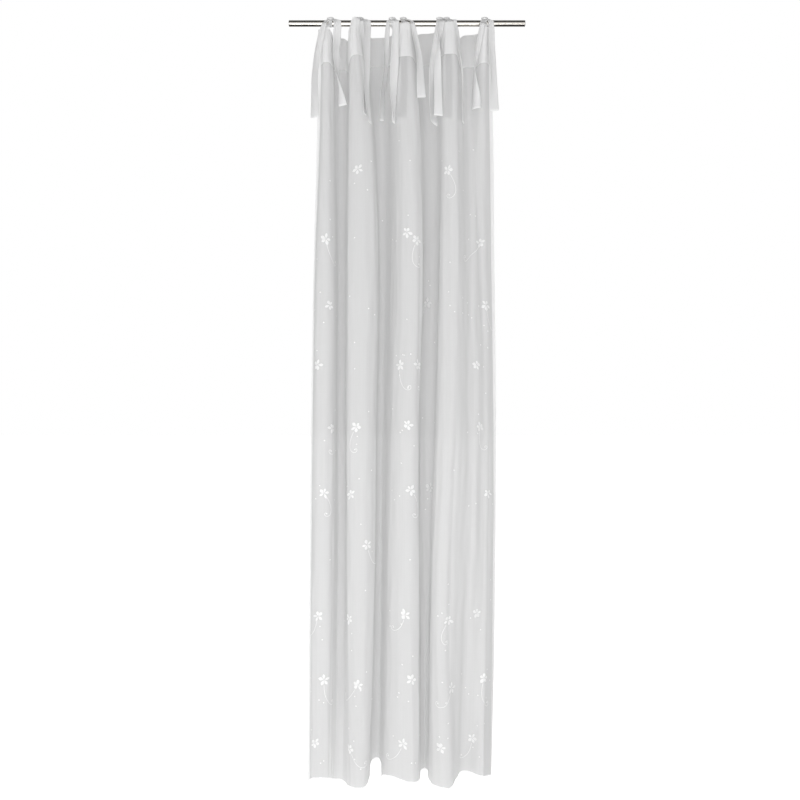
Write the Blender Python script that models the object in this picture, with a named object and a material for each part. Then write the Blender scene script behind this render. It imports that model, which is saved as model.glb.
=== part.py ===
# Sheer voile tie-top curtain, hung by seven knotted cloth ties from a plain steel rod.
#
# Metres, +Z up, +X to the right and +Y away from the viewer. The origin is on the rod's axis at
# mid-length. The panel is one cloth, cut 1.40 m wide and 2.45 m long, gathered to about 0.6 m in
# deep uneven folds. Tables give millimetres. A "drop" is a distance below the rod's axis.

import math

import bpy
import numpy as np

MM = 0.001

ROD_RADIUS = 0.010
ROD_LENGTH = 0.766
ROD_CHAMFER = 0.0008
ROD_SIDES = 32

CLOTH = 0.0015  # thickness of every sheet
GAP = 0.0003  # clearance between pieces that touch
FACING_GAP = 0.00036  # kept between the panel and its facing, which follow the same folds
ROD_SHADOW = 0.0045  # the cloth keeps this far below the rod and the ties round it
HEADING_DEPTH = 0.105

STEPS_PER_FLANK = 7  # columns of the cloth grid between one crest and the next trough
FINE_STEPS = 28  # the same, where ties are laid against the cloth
HEADING_ROWS = 3
BODY_ROWS = 12

# The section of the panel runs from crest to trough and back through these stations, left to
# right. Rows below are one station each: its place across (x) and its depth (y) at six drops.
LEVEL_DROPS = (30, 300, 770, 1250, 2010, 2450)
STATIONS = (
    ("left_edge", (-287, -290, -302, -311, -318, -321), (-12, -10, -8, -8, -8, -8)),
    ("fold_1", (-261, -259, -261, -262, -271, -275), (-25, -50, -58, -56, -48, -30)),
    ("valley_1", (-217, -221, -220, -221, -222, -225), (42, 62, 64, 62, 30, -4)),
    ("fold_2", (-166, -150, -144, -147, -147, -149), (-25, -55, -68, -70, -74, -80)),
    ("valley_2", (-92, -86, -79, -84, -92, -101), (52, 66, 74, 76, 80, 85)),
    ("fold_3", (-2, 5, 22, 10, 10, 18), (-27, -56, -64, -68, -66, -46)),
    ("valley_3", (61, 80, 83, 72, 62, 60), (56, 70, 80, 82, 84, 85)),
    ("fold_4", (148, 148, 153, 143, 114, 128), (-27, -60, -70, -72, -76, -80)),
    ("valley_4", (202, 206, 212, 220, 200, 187), (46, 18, -14, -20, -12, 26)),
    ("fold_5", (253, 243, 248, 258, 253, 247), (-22, -6, 10, 8, 4, -12)),
    ("right_edge", (272, 281, 288, 293, 289, 281), (-4, 20, 40, 40, 56, 75)),
)
FLANKS = (
    # for the flank after each station, at the six drops: how steep it is, 0 for a plain wave, over
    # 1 where it folds back past upright, under 0 where it is straighter; how much wider its crest
    # side is than its trough side
    ((0.6, 0.5, 0.4, 0.4, 0.4, 0.4), (-0.08, 0.03, 0.25, 0.25, 0.25, 0.25)),
    ((0.75, 0.95, 1.0, 1.0, 0.6, 0.2), (0.0, 0.1, 0.25, 0.25, 0.2, 0.1)),
    ((0.75, 1.05, 1.15, 1.15, 0.8, 0.4), (0.0, 0.08, 0.18, 0.18, 0.15, 0.1)),
    ((0.75, 1.05, 1.15, 1.15, 1.15, 1.1), (-0.14, 0.1, 0.31, 0.28, 0.2, 0.06)),
    ((0.75, 0.35, 0.2, 0.3, 0.4, 0.7), (-0.05, 0.05, 0.17, 0.22, 0.3, 0.35)),
    ((0.75, 1.0, 1.15, 1.15, 1.1, 0.9), (-0.1, 0.0, 0.02, 0.0, 0.12, 0.1)),
    ((0.75, 1.0, 1.15, 1.15, 1.1, 0.9), (0.0, 0.06, 0.18, 0.17, 0.28, 0.36)),
    ((0.75, 0.3, 0.0, 0.0, 0.0, 0.3), (-0.1, 0.0, 0.0, 0.0, 0.0, 0.0)),
    ((0.6, 0.2, 0.0, 0.0, 0.0, 0.0), (-0.1, 0.0, 0.0, 0.0, 0.0, 0.0)),
    ((0.4, 0.2, 0.0, -0.2, -0.5, -0.75), (-0.1, 0.0, 0.0, 0.0, 0.0, 0.0)),
)
EDGES = (
    # top drop, sag of the next flank, hem drop
    (24, 0, 2452),
    (24, 20, 2438),
    (32, 40, 2452),
    (-8, 22, 2452),
    (27, 0, 2414),
    (9, 32, 2447),
    (12, 0, 2450),
    (4, 36, 2450),
    (20, 5, 2436),
    (17, 0, 2440),
    (22, 0, 2466),
)

TIE_WIDTH = 0.028  # cut width of a tie's strip
RING_WIDTH = 0.012  # the strip is gathered to this where it goes round the rod
ROOT_WIDTH = 0.009  # and to this where it is sewn into the heading's top edge
RING_SIDES = 16
KNOT_SIZE = (0.0090, 0.0080, 0.0046)  # half sizes of a knot
KNOT_PLACE = (-0.001, 0.0154)  # depth and height of a knot's centre
TIES = (
    # name, x of the knot, flank and share along it of the place where it is sewn on
    ("tie_1", -248, 1, 0.04),
    ("tie_2", -152, 3, 0.00),
    ("tie_3", -48, 4, 0.47),
    ("tie_4", -12, 5, 0.00),
    ("tie_5", 106, 6, 0.49),
    ("tie_6", 128, 6, 0.94),
    ("tie_7", 252, 9, 0.00),
)
TAILS = (
    # tie, side of the rod, x on the rod, width on the rod, x and drop half way, x and drop of
    # the end, turn half way and at the end in degrees from facing the front
    ("tie_1", -1, -263, 13, -290, 110, -299, 314, 50, 30),
    ("tie_1", -1, -225, 25, -225, 185, -207, 272, 86, 165),
    ("tie_2", -1, -129, 26, -131, 190, -122, 336, 50, 68),
    ("tie_2", -1, -146, 12, -139, 150, -136, 312, 80, 74),
    ("tie_3", -1, -61, 12, -75, 170, -87, 317, 62, 60),
    ("tie_3", -1, -36, 20, -42, 160, -48, 322, 16, 78),
    ("tie_4", -1, 17, 12, 36, 120, 46, 253, 45, 12),
    ("tie_4", 1, -12, 18, -10, 160, -14, 300, 40, 15),
    ("tie_5", -1, 101, 12, 81, 150, 85, 322, 34, 40),
    ("tie_5", -1, 113, 18, 102, 62, 100, 309, 84, 168),
    ("tie_6", -1, 154, 10, 172, 150, 177, 334, 84, 74),
    ("tie_6", 1, 128, 16, 136, 160, 132, 300, 35, 20),
    ("tie_7", -1, 244, 14, 217, 150, 223, 280, 80, 176),
    ("tie_7", -1, 272, 18, 274, 120, 283, 288, 40, 14),
)
TAIL_CLEARANCE = 0.0012  # between a hanging tail and the folds that it lies against
TAIL_START = 78  # degrees up from the back of the rod, inside the knot
ARC_STEPS = 5  # from there to the front of the rod
FALL_STEPS = 10  # from there to the end, closer together near the rod
FALL_SPREAD = 1.5
SIGHT_STEPS = 7  # drops between two steps at which a tail is kept clear of the panel
ROOT_LEAN = 30  # degrees by which the sewn-on strip leaves the ring above the seam's direction
ROOT_REACH = 0.004  # how straight it leaves the ring, and comes down on the seam
ROOT_STEPS = 6
TAIL_NECK = 0.5  # share of its width on the rod that a tail has inside the knot
LOOK_ABOVE = 0.004  # a tail is kept clear of the panel from this far above its top edge


def clear_scene():
    for thing in list(bpy.data.objects):
        bpy.data.objects.remove(thing, do_unlink=True)


def material(name, colour, roughness, metallic=0.0):
    made = bpy.data.materials.new(name)
    made.use_nodes = True
    shader = made.node_tree.nodes["Principled BSDF"]
    shader.inputs["Base Color"].default_value = (*colour, 1.0)
    shader.inputs["Roughness"].default_value = roughness
    shader.inputs["Metallic"].default_value = metallic
    return made


def add_object(name, vertices, faces, finish):
    mesh = bpy.data.meshes.new(name)
    mesh.from_pydata([tuple(v) for v in vertices], [], faces)
    mesh.validate()
    mesh.materials.append(finish)
    thing = bpy.data.objects.new(name, mesh)
    bpy.context.scene.collection.objects.link(thing)
    return thing


def smooth_through(knots, values, at):
    """Cubic curve through values at knots, with slopes from the neighbours, read at the places at."""
    knots, values, at = (np.asarray(a, float) for a in (knots, values, at))
    slopes = np.gradient(values, knots)
    at = np.clip(at, knots[0], knots[-1])
    left = np.clip(np.searchsorted(knots, at, side="right") - 1, 0, len(knots) - 2)
    span = knots[left + 1] - knots[left]
    t = (at - knots[left]) / span
    return (
        values[left] * (1 + 2 * t) * (1 - t) ** 2
        + slopes[left] * span * t * (1 - t) ** 2
        + values[left + 1] * t**2 * (3 - 2 * t)
        + slopes[left + 1] * span * t**2 * (t - 1)
    )


def section(drops, flanks, t):
    """Points of the panel's middle surface: flank number and share t along it, at the drops."""
    level_x = np.array([s[1] for s in STATIONS], float)
    level_y = np.array([s[2] for s in STATIONS], float)
    steep, wide = np.array(FLANKS).transpose(1, 0, 2)
    x = np.empty(drops.shape)
    y = np.empty(drops.shape)
    for flank in range(len(STATIONS) - 1):
        here = flanks == flank
        if not here.any():
            continue
        share = t[here]
        x0, x1, y0, y1 = (
            smooth_through(LEVEL_DROPS, level[flank + end], drops[here])
            for level in (level_x, level_y)
            for end in (0, 1)
        )
        towards_trough = 1.0 if flank % 2 else -1.0
        upright = smooth_through(LEVEL_DROPS, steep[flank], drops[here])
        widening = towards_trough * smooth_through(LEVEL_DROPS, wide[flank], drops[here])
        across = share + upright * np.sin(2 * math.pi * share) / (2 * math.pi)
        across = across + widening * np.sin(math.pi * share)
        x[here] = x0 + (x1 - x0) * across
        y[here] = y0 + (y1 - y0) * (1 - np.cos(math.pi * share)) / 2
    return x, y


def columns(steps):
    """Flank number and share along it for each column of a grid with that many steps a flank."""
    flanks = len(STATIONS) - 1
    place = np.arange(flanks * steps + 1) / steps
    flank = np.minimum(place.astype(int), flanks - 1)
    return flank, place - flank


def edge_drops(flank, t):
    """Drops of the panel's top and bottom edges, the top one kept below the rod where it passes."""
    top, sag, hem = (np.array(column, float) for column in zip(*EDGES))
    ease = (1 - np.cos(math.pi * t)) / 2
    top_drop = top[flank] * (1 - ease) + top[flank + 1] * ease + sag[flank] * np.sin(math.pi * t)
    hem_drop = hem[flank] * (1 - ease) + hem[flank + 1] * ease
    clear = (ROD_RADIUS + ROD_SHADOW) / MM
    depth = section(np.full(flank.shape, LEVEL_DROPS[0], float), flank, t)[1]
    below_rod = np.sqrt(np.maximum(clear**2 - depth**2, 0)) + CLOTH / MM
    near = np.abs(depth) < clear + 2 * CLOTH / MM
    return np.where(near, np.maximum(top_drop, below_rod), top_drop), hem_drop


def panel_grid(steps):
    """Middle surface of the panel, rows from top to hem, in metres."""
    flank, t = columns(steps)
    top, hem = edge_drops(flank, t)
    heading = [top + HEADING_DEPTH / MM * row / HEADING_ROWS for row in range(HEADING_ROWS + 1)]
    start = heading[-1]
    body = [start + (hem - start) * row / BODY_ROWS for row in range(1, BODY_ROWS + 1)]
    grid = []
    for drops in heading + body:
        x, y = section(drops, flank, t)
        grid.append(np.stack([x, y, -drops], axis=1) * MM)
    return np.array(grid)


def grid_normals(grid):
    """Unit normals of a grid, towards the viewer."""
    down = np.gradient(grid, axis=0)
    across = np.gradient(grid, axis=1)
    normal = np.cross(down, across)
    normal /= np.linalg.norm(normal, axis=2, keepdims=True)
    return normal


def sheet_solid(name, middle, normals, finish):
    """Closed solid of a sheet: its middle surface moved half a thickness each way, and a rim."""
    rows, cols = middle.shape[:2]
    front = (middle + normals * CLOTH / 2).reshape(-1, 3)
    back = (middle - normals * CLOTH / 2).reshape(-1, 3)
    index = np.arange(rows * cols).reshape(rows, cols)
    behind = index + rows * cols
    faces = []
    for r in range(rows - 1):
        for c in range(cols - 1):
            # front and back are split along the same diagonal, so the sheet keeps its thickness
            faces.append((index[r, c], index[r + 1, c], index[r + 1, c + 1]))
            faces.append((index[r, c], index[r + 1, c + 1], index[r, c + 1]))
            faces.append((behind[r, c], behind[r + 1, c + 1], behind[r + 1, c]))
            faces.append((behind[r, c], behind[r, c + 1], behind[r + 1, c + 1]))
    rim = list(index[0, ::-1]) + list(index[1:, 0]) + list(index[-1, 1:]) + list(index[-2:0:-1, -1])
    for i, j in zip(rim, rim[1:] + rim[:1]):
        faces.append((j, i, i + rows * cols, j + rows * cols))
    faces = [tuple(int(v) for v in face) for face in faces]
    return add_object(name, np.concatenate([front, back]), faces, finish)


def strip_solid(name, centres, across, widths, finish, closed=False):
    """Closed solid of a strip that follows centres, lying along the unit vectors across."""
    centres = np.asarray(centres, float)
    if closed:
        along = np.roll(centres, -1, axis=0) - np.roll(centres, 1, axis=0)
    else:
        along = np.gradient(centres, axis=0)
    along /= np.linalg.norm(along, axis=1, keepdims=True)
    normal = np.cross(along, across)
    normal /= np.linalg.norm(normal, axis=1, keepdims=True)
    side = across * (np.asarray(widths) / 2)[:, None]
    rise = normal * CLOTH / 2
    corners = np.stack(
        [centres - side - rise, centres + side - rise, centres + side + rise, centres - side + rise],
        axis=1,
    )
    count = len(centres)
    faces = []
    for i in range(count if closed else count - 1):
        a, b = 4 * i, 4 * ((i + 1) % count)
        # the two wide sides are split along the same diagonal, so a twist keeps the thickness
        faces += [(a, a + 1, b + 1), (a, b + 1, b)]
        faces += [(a + 3, b + 2, a + 2), (a + 3, b + 3, b + 2)]
        faces += [(a + 1, a + 2, b + 2), (a + 1, b + 2, b + 1)]
        faces += [(a + 3, a, b), (a + 3, b, b + 3)]
    if not closed:
        last = 4 * (count - 1)
        faces.append((3, 2, 1, 0))
        faces.append((last, last + 1, last + 2, last + 3))
    return add_object(name, corners.reshape(-1, 3), faces, finish)


def knot_solid(name, centre, finish):
    bpy.ops.mesh.primitive_uv_sphere_add(segments=10, ring_count=6, radius=1.0)
    knot = bpy.context.object
    knot.name = name
    knot.data.name = name
    for vertex in knot.data.vertices:
        for axis in range(3):
            vertex.co[axis] = vertex.co[axis] * KNOT_SIZE[axis] + centre[axis]
    knot.data.materials.append(finish)
    return knot


def panel_front(grid, x_low, x_high, drop):
    """Smallest depth of the panel between two places across, at a drop, or None beside it."""
    drops = -grid[:, :, 2]
    columns_here = np.arange(grid.shape[1])
    row = np.clip((drops < drop).sum(axis=0), 1, grid.shape[0] - 1)
    above, below = grid[row - 1, columns_here], grid[row, columns_here]
    share = np.clip((drop + above[:, 2]) / (above[:, 2] - below[:, 2]), 0, 1)
    points = above + (below - above) * share[:, None]
    here = (points[:, 0] > x_low) & (points[:, 0] < x_high) & (drop > drops[0] - LOOK_ABOVE)
    return points[here, 1].min() if here.any() else None


def tail_strip(name, row, knot_x, fine_grid, finish):
    """A tie's free end: over the rod from the knot, then down, pushed out by folds it meets."""
    _, side, rod_x, rod_width, mid_x, mid_drop, end_x, end_drop, mid_turn, end_turn = row
    radius = ROD_RADIUS + GAP + CLOTH
    centres, turns, widths = [], [], []
    for step in range(ARC_STEPS):
        share = step / ARC_STEPS
        angle = math.radians(TAIL_START + (180 - TAIL_START) * share)
        ease = share * share * (3 - 2 * share)
        x = knot_x + (rod_x - knot_x) * ease
        centres.append((x * MM, -side * radius * math.cos(angle), radius * math.sin(angle)))
        turns.append(0.0)
        widths.append(rod_width * MM * (TAIL_NECK + (1 - TAIL_NECK) * ease))
    furthest = radius
    knots = (0.0, mid_drop, end_drop)
    drops = end_drop * (np.arange(FALL_STEPS + 1) / FALL_STEPS) ** FALL_SPREAD
    for step, drop in enumerate(drops):
        x = smooth_through(knots, (rod_x, mid_x, end_x), drop) * MM
        turn = math.radians(float(smooth_through(knots, (0.0, mid_turn, end_turn), drop)))
        width = rod_width * MM + (TIE_WIDTH - rod_width * MM) * min(drop / mid_drop, 1.0)
        half_across = width / 2 * abs(math.cos(turn)) + TAIL_CLEARANCE
        half_deep = width / 2 * abs(math.sin(turn)) + CLOTH + TAIL_CLEARANCE
        if side < 0:
            before, after = drops[max(step - 1, 0)], drops[min(step + 1, FALL_STEPS)]
            for nearby in np.linspace(before, after, SIGHT_STEPS) * MM:
                front = panel_front(fine_grid, x - half_across, x + half_across, nearby)
                if front is not None:
                    furthest = max(furthest, half_deep - front)
        if drop < 2 * ROD_RADIUS / MM:
            furthest = max(furthest, half_deep + ROD_RADIUS)
        centres.append((float(x), side * furthest, -drop * MM))
        turns.append(turn)
        widths.append(width)
    across = np.array([(math.cos(a), math.sin(a), 0.0) for a in turns])
    return strip_solid(name, centres, across, widths, finish)


def root_strip(name, knot_x, sewn_at, fine_grid, finish):
    """The strip between the ring and the heading's top edge, ending just above that edge."""
    top, normal = fine_grid[0], grid_normals(fine_grid)[0]
    at = round(sewn_at * FINE_STEPS)
    beside = np.linalg.norm(top[:, :2] - top[at, :2], axis=1) < ROOT_WIDTH / 2 + 0.001
    seam = top[at] - normal[at] * (CLOTH + GAP) / 2
    end = np.array([seam[0], seam[1], top[beside, 2].max() + 2 * GAP])
    side = 1.0 if end[1] > 0 else -1.0
    start_angle = math.atan2(end[2], end[1]) + side * math.radians(ROOT_LEAN)
    radius = ROD_RADIUS + GAP + CLOTH / 2
    start = np.array([knot_x * MM, radius * math.cos(start_angle), radius * math.sin(start_angle)])
    out = np.array([0.0, math.cos(start_angle), math.sin(start_angle)]) * ROOT_REACH
    rise = np.array([0.0, 0.0, ROOT_REACH])
    above = end + rise / 2
    points = []
    for t in np.linspace(0, 1, ROOT_STEPS):
        a, b, c, d = (1 - t) ** 3, 3 * t * (1 - t) ** 2, 3 * t * t * (1 - t), t**3
        points.append(a * start + b * (start + out) + c * (above + rise) + d * above)
    points += [end + rise / 4, end]
    along_edge = top[min(at + 1, len(top) - 1)] - top[at - 1]
    along_edge = np.array([along_edge[0], along_edge[1], 0.0]) / np.hypot(*along_edge[:2])
    turn = np.linspace(0, 1, len(points))[:, None]
    across = (1 - turn) * np.array([1.0, 0.0, 0.0]) + turn * along_edge
    across /= np.linalg.norm(across, axis=1, keepdims=True)
    return strip_solid(name, points, across, np.full(len(points), ROOT_WIDTH), finish)


def ring_strip(name, knot_x, finish):
    """The strip's turn round the rod."""
    radius = ROD_RADIUS + GAP / math.cos(math.pi / RING_SIDES) + CLOTH / 2
    radius = radius / math.cos(math.pi / RING_SIDES)
    angles = np.arange(RING_SIDES) * 2 * math.pi / RING_SIDES
    centres = np.stack(
        [np.full(RING_SIDES, knot_x * MM), radius * np.cos(angles), radius * np.sin(angles)], axis=1
    )
    across = np.tile((1.0, 0.0, 0.0), (RING_SIDES, 1))
    return strip_solid(name, centres, across, np.full(RING_SIDES, RING_WIDTH), finish, closed=True)


def unite(body, shapes):
    """Boolean unions that make one body of a piece; the shapes stay as hidden guides."""
    for shape in shapes:
        join = body.modifiers.new(shape.name, "BOOLEAN")
        join.operation = "UNION"
        join.solver = "EXACT"
        join.object = shape
        shape.hide_render = True
        shape.display_type = "WIRE"


def build_rod(finish):
    bpy.ops.mesh.primitive_cylinder_add(
        vertices=ROD_SIDES,
        radius=ROD_RADIUS,
        depth=ROD_LENGTH,
        rotation=(0.0, math.pi / 2, 0.0),
    )
    rod = bpy.context.object
    rod.name = "curtain_rod"
    rod.data.name = "curtain_rod"
    rod.data.materials.append(finish)
    edge = rod.modifiers.new("chamfer", "BEVEL")
    edge.width = ROD_CHAMFER
    edge.segments = 1
    edge.limit_method = "ANGLE"
    edge.angle_limit = math.radians(60)
    rod.data.shade_smooth()
    rod.data.set_sharp_from_angle(angle=math.radians(40))
    return rod


def build_cloth(panel_finish, heading_finish):
    grid = panel_grid(STEPS_PER_FLANK)
    normals = grid_normals(grid)
    sheet_solid("voile_panel", grid, normals, panel_finish)
    rows = HEADING_ROWS + 1
    behind = grid[:rows] - normals[:rows] * (CLOTH + FACING_GAP)
    sheet_solid("heading_facing", behind, normals[:rows], heading_finish)


def build_ties(finish):
    fine_grid = panel_grid(FINE_STEPS)
    for name, knot_x, flank, share in TIES:
        ring = ring_strip(name, knot_x, finish)
        centre = (knot_x * MM, *KNOT_PLACE)
        shapes = [knot_solid(name + "_knot", centre, finish)]
        shapes.append(root_strip(name + "_root", knot_x, flank + share, fine_grid, finish))
        tails = [row for row in TAILS if row[0] == name]
        for number, row in enumerate(tails):
            shapes.append(tail_strip(f"{name}_tail_{number}", row, knot_x, fine_grid, finish))
        unite(ring, shapes)


def main():
    clear_scene()
    steel = material("brushed steel", (0.45, 0.44, 0.42), 0.3, 1.0)
    voile = material("sheer white voile", (0.86, 0.86, 0.86), 0.85)
    doubled = material("doubled white voile", (0.90, 0.90, 0.90), 0.85)
    strip = material("white voile strip", (0.92, 0.92, 0.91), 0.85)
    build_rod(steel)
    build_cloth(voile, doubled)
    build_ties(strip)


main()
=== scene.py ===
import math

import bpy
import numpy as np
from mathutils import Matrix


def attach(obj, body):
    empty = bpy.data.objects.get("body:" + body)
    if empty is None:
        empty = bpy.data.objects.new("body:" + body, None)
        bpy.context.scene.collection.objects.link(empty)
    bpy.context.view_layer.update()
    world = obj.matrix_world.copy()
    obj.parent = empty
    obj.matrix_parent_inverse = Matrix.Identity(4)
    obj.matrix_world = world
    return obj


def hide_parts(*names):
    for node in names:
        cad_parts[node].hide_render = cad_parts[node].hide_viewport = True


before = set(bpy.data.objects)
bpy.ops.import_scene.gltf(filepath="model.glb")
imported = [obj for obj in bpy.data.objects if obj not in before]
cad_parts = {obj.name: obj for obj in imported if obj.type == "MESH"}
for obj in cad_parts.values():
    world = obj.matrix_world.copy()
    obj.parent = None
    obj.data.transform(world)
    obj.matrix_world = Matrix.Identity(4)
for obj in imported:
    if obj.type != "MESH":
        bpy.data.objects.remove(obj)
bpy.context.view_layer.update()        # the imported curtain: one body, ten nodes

# Sheer white voile curtain, tied to a steel rod. Lengths in the tables are millimetres,
# "drop" is a distance below the rod's axis, and the cloth's own sizes are flat ones.

mm = 0.001
scene = bpy.context.scene
scene.view_settings.view_transform = "Standard"


def linear(hexColour, alpha=1.0):
    # sRGB hex to linear: below 0.04045 divided by 12.92, above it a 2.4 power
    parts = [int(hexColour[i:i + 2], 16) / 255 for i in (1, 3, 5)]
    return (*[c / 12.92 if c <= 0.04045 else ((c + 0.055) / 1.055) ** 2.4 for c in parts], alpha)


def addNode(tree, kind, settings=None, **links):
    # one node with its settings, then its inputs: a socket is linked, a value is set
    node = tree.nodes.new(kind)
    for name, value in (settings or {}).items():
        setattr(node, name, value)
    for name, value in links.items():
        key = int(name[1:]) if name[1:].isdigit() else name.replace("_", " ")
        if isinstance(value, bpy.types.NodeSocket):
            tree.links.new(value, node.inputs[key])
        else:
            node.inputs[key].default_value = value
    return node


def newMaterial(name):
    made = bpy.data.materials.new(name)
    made.use_nodes = True
    made.node_tree.nodes.clear()
    return made, made.node_tree


def mathNode(tree, operation, *values):
    links = {f"i{i}": value for i, value in enumerate(values)}
    return addNode(tree, "ShaderNodeMath", {"operation": operation}, **links).outputs[0]


# camera

view = {"place": (-0.0227, -3.125, -1.251), "lens": 43.33, "shift": 9 / 800}
eye = np.array(view["place"])
camera = bpy.data.objects.new("camera", bpy.data.cameras.new("camera"))
scene.collection.objects.link(camera)
camera.location = view["place"]
camera.rotation_euler = (math.radians(90), 0, 0)
camera.data.lens = view["lens"]
camera.data.sensor_width = 36
camera.data.shift_y = view["shift"]
scene.camera = camera


# the folds of the cloth, from crest to trough and back, left to right

folds = {
    "levels": (30, 300, 770, 1250, 2010, 2450),
    "stationX": (
        (-287, -290, -302, -311, -318, -321),
        (-261, -259, -261, -262, -271, -275),
        (-217, -221, -220, -221, -222, -225),
        (-166, -150, -144, -147, -147, -149),
        (-92, -86, -79, -84, -92, -101),
        (-2, 5, 22, 10, 10, 18),
        (61, 80, 83, 72, 62, 60),
        (148, 148, 153, 143, 114, 128),
        (202, 206, 212, 220, 200, 187),
        (253, 243, 248, 258, 253, 247),
        (272, 281, 288, 293, 289, 281),
    ),
    "stationY": (
        (-12, -10, -8, -8, -8, -8),
        (-25, -50, -58, -56, -48, -30),
        (42, 62, 64, 62, 30, -4),
        (-25, -55, -68, -70, -74, -80),
        (52, 66, 74, 76, 80, 85),
        (-27, -56, -64, -68, -66, -46),
        (56, 70, 80, 82, 84, 85),
        (-27, -60, -70, -72, -76, -80),
        (46, 18, -14, -20, -12, 26),
        (-22, -6, 10, 8, 4, -12),
        (-4, 20, 40, 40, 56, 75),
    ),
    "steep": (  # for each flank: 0 a plain wave, over 1 folded past upright, under 0 flatter
        (0.6, 0.5, 0.4, 0.4, 0.4, 0.4),
        (0.75, 0.95, 1.0, 1.0, 0.6, 0.2),
        (0.75, 1.05, 1.15, 1.15, 0.8, 0.4),
        (0.75, 1.05, 1.15, 1.15, 1.15, 1.1),
        (0.75, 0.35, 0.2, 0.3, 0.4, 0.7),
        (0.75, 1.0, 1.15, 1.15, 1.1, 0.9),
        (0.75, 1.0, 1.15, 1.15, 1.1, 0.9),
        (0.75, 0.3, 0.0, 0.0, 0.0, 0.3),
        (0.6, 0.2, 0.0, 0.0, 0.0, 0.0),
        (0.4, 0.2, 0.0, -0.2, -0.5, -0.75),
    ),
    "wide": (  # how much wider its crest side is than its trough side
        (-0.08, 0.03, 0.25, 0.25, 0.25, 0.25),
        (0.0, 0.1, 0.25, 0.25, 0.2, 0.1),
        (0.0, 0.08, 0.18, 0.18, 0.15, 0.1),
        (-0.14, 0.1, 0.31, 0.28, 0.2, 0.06),
        (-0.05, 0.05, 0.17, 0.22, 0.3, 0.35),
        (-0.1, 0.0, 0.02, 0.0, 0.12, 0.1),
        (0.0, 0.06, 0.18, 0.17, 0.28, 0.36),
        (-0.1, 0.0, 0.0, 0.0, 0.0, 0.0),
        (-0.1, 0.0, 0.0, 0.0, 0.0, 0.0),
        (-0.1, 0.0, 0.0, 0.0, 0.0, 0.0),
    ),
    "topDrop": (24, 24, 32, -8, 27, 9, 12, 4, 20, 17, 22),
    "bandDrop": (140, 138, 132, 113, 121, 119, 114, 111, 130, 132, 134),
    "sag": (0, 20, 40, 22, 0, 32, 0, 36, 5, 0),
    "hemDrop": (2452, 2438, 2452, 2452, 2414, 2447, 2450, 2450, 2436, 2440, 2466),
    # points and dents of the hem: place s, half width in s, and drop
    "hemPoints": ((0.02, 0.10, 4), (4.47, 0.09, 28), (4.80, 0.12, -11), (7.05, 0.10, 4)),
    "footSag": 0.85,  # share of the top edge's sag that the foot of the heading has
    "rodRadius": 10,
    "clearOfRod": 4.5,
    "underRod": 1.5,  # the top edge keeps this lower still where it passes under the rod
    "easeUnder": 3,  # and comes down to it within this depth
}
cloth = {
    "width": 1400, "length": 2450, "heading": 105, "sideHem": 12, "bottomHem": 4,
    "flatEdge": 25,  # the cloth lies smooth this near its side edges
    "facingLift": -1.86,  # the facing lies behind the panel
}
flankCount = len(folds["stationX"]) - 1


def smoothThrough(knots, values, at):
    # cubic through the values at the knots, its slopes from the neighbours; values may be
    # one row for all, or one row for each place in at
    knots, at = np.asarray(knots, float), np.asarray(at, float)
    values = np.broadcast_to(np.asarray(values, float), (*at.shape, len(knots)))
    slopes = np.gradient(values, knots, axis=-1)
    at = np.clip(at, knots[0], knots[-1])
    left = np.clip(np.searchsorted(knots, at, side="right") - 1, 0, len(knots) - 2)
    span = knots[left + 1] - knots[left]
    t = (at - knots[left]) / span
    take = lambda table, where: np.take_along_axis(table, where[..., None], -1)[..., 0]
    return (
        take(values, left) * (1 + 2 * t) * (1 - t) ** 2
        + take(slopes, left) * span * t * (1 - t) ** 2
        + take(values, left + 1) * t**2 * (3 - 2 * t)
        + take(slopes, left + 1) * span * t**2 * (t - 1)
    )


def section(s, drop):
    # flank number and share t along it: across = t + steep*sin(2 pi t)/(2 pi), the crest side
    # wider by wide*sin(pi t); depth runs as a half cosine from crest to trough
    s, drop = np.broadcast_arrays(np.asarray(s, float), np.asarray(drop, float))
    flank = np.clip(s.astype(int), 0, flankCount - 1)
    t = s - flank
    levels, xs, ys = folds["levels"], np.array(folds["stationX"]), np.array(folds["stationY"])
    x0, x1 = (smoothThrough(levels, xs[flank + end], drop) for end in (0, 1))
    y0, y1 = (smoothThrough(levels, ys[flank + end], drop) for end in (0, 1))
    steep, wide = (smoothThrough(levels, np.array(folds[name])[flank], drop) for name in ("steep", "wide"))
    across = t + steep * np.sin(2 * np.pi * t) / (2 * np.pi)
    across = across + np.where(flank % 2, wide, -wide) * np.sin(np.pi * t)
    return x0 + (x1 - x0) * across, y0 + (y1 - y0) * (1 - np.cos(np.pi * t)) / 2


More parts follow.
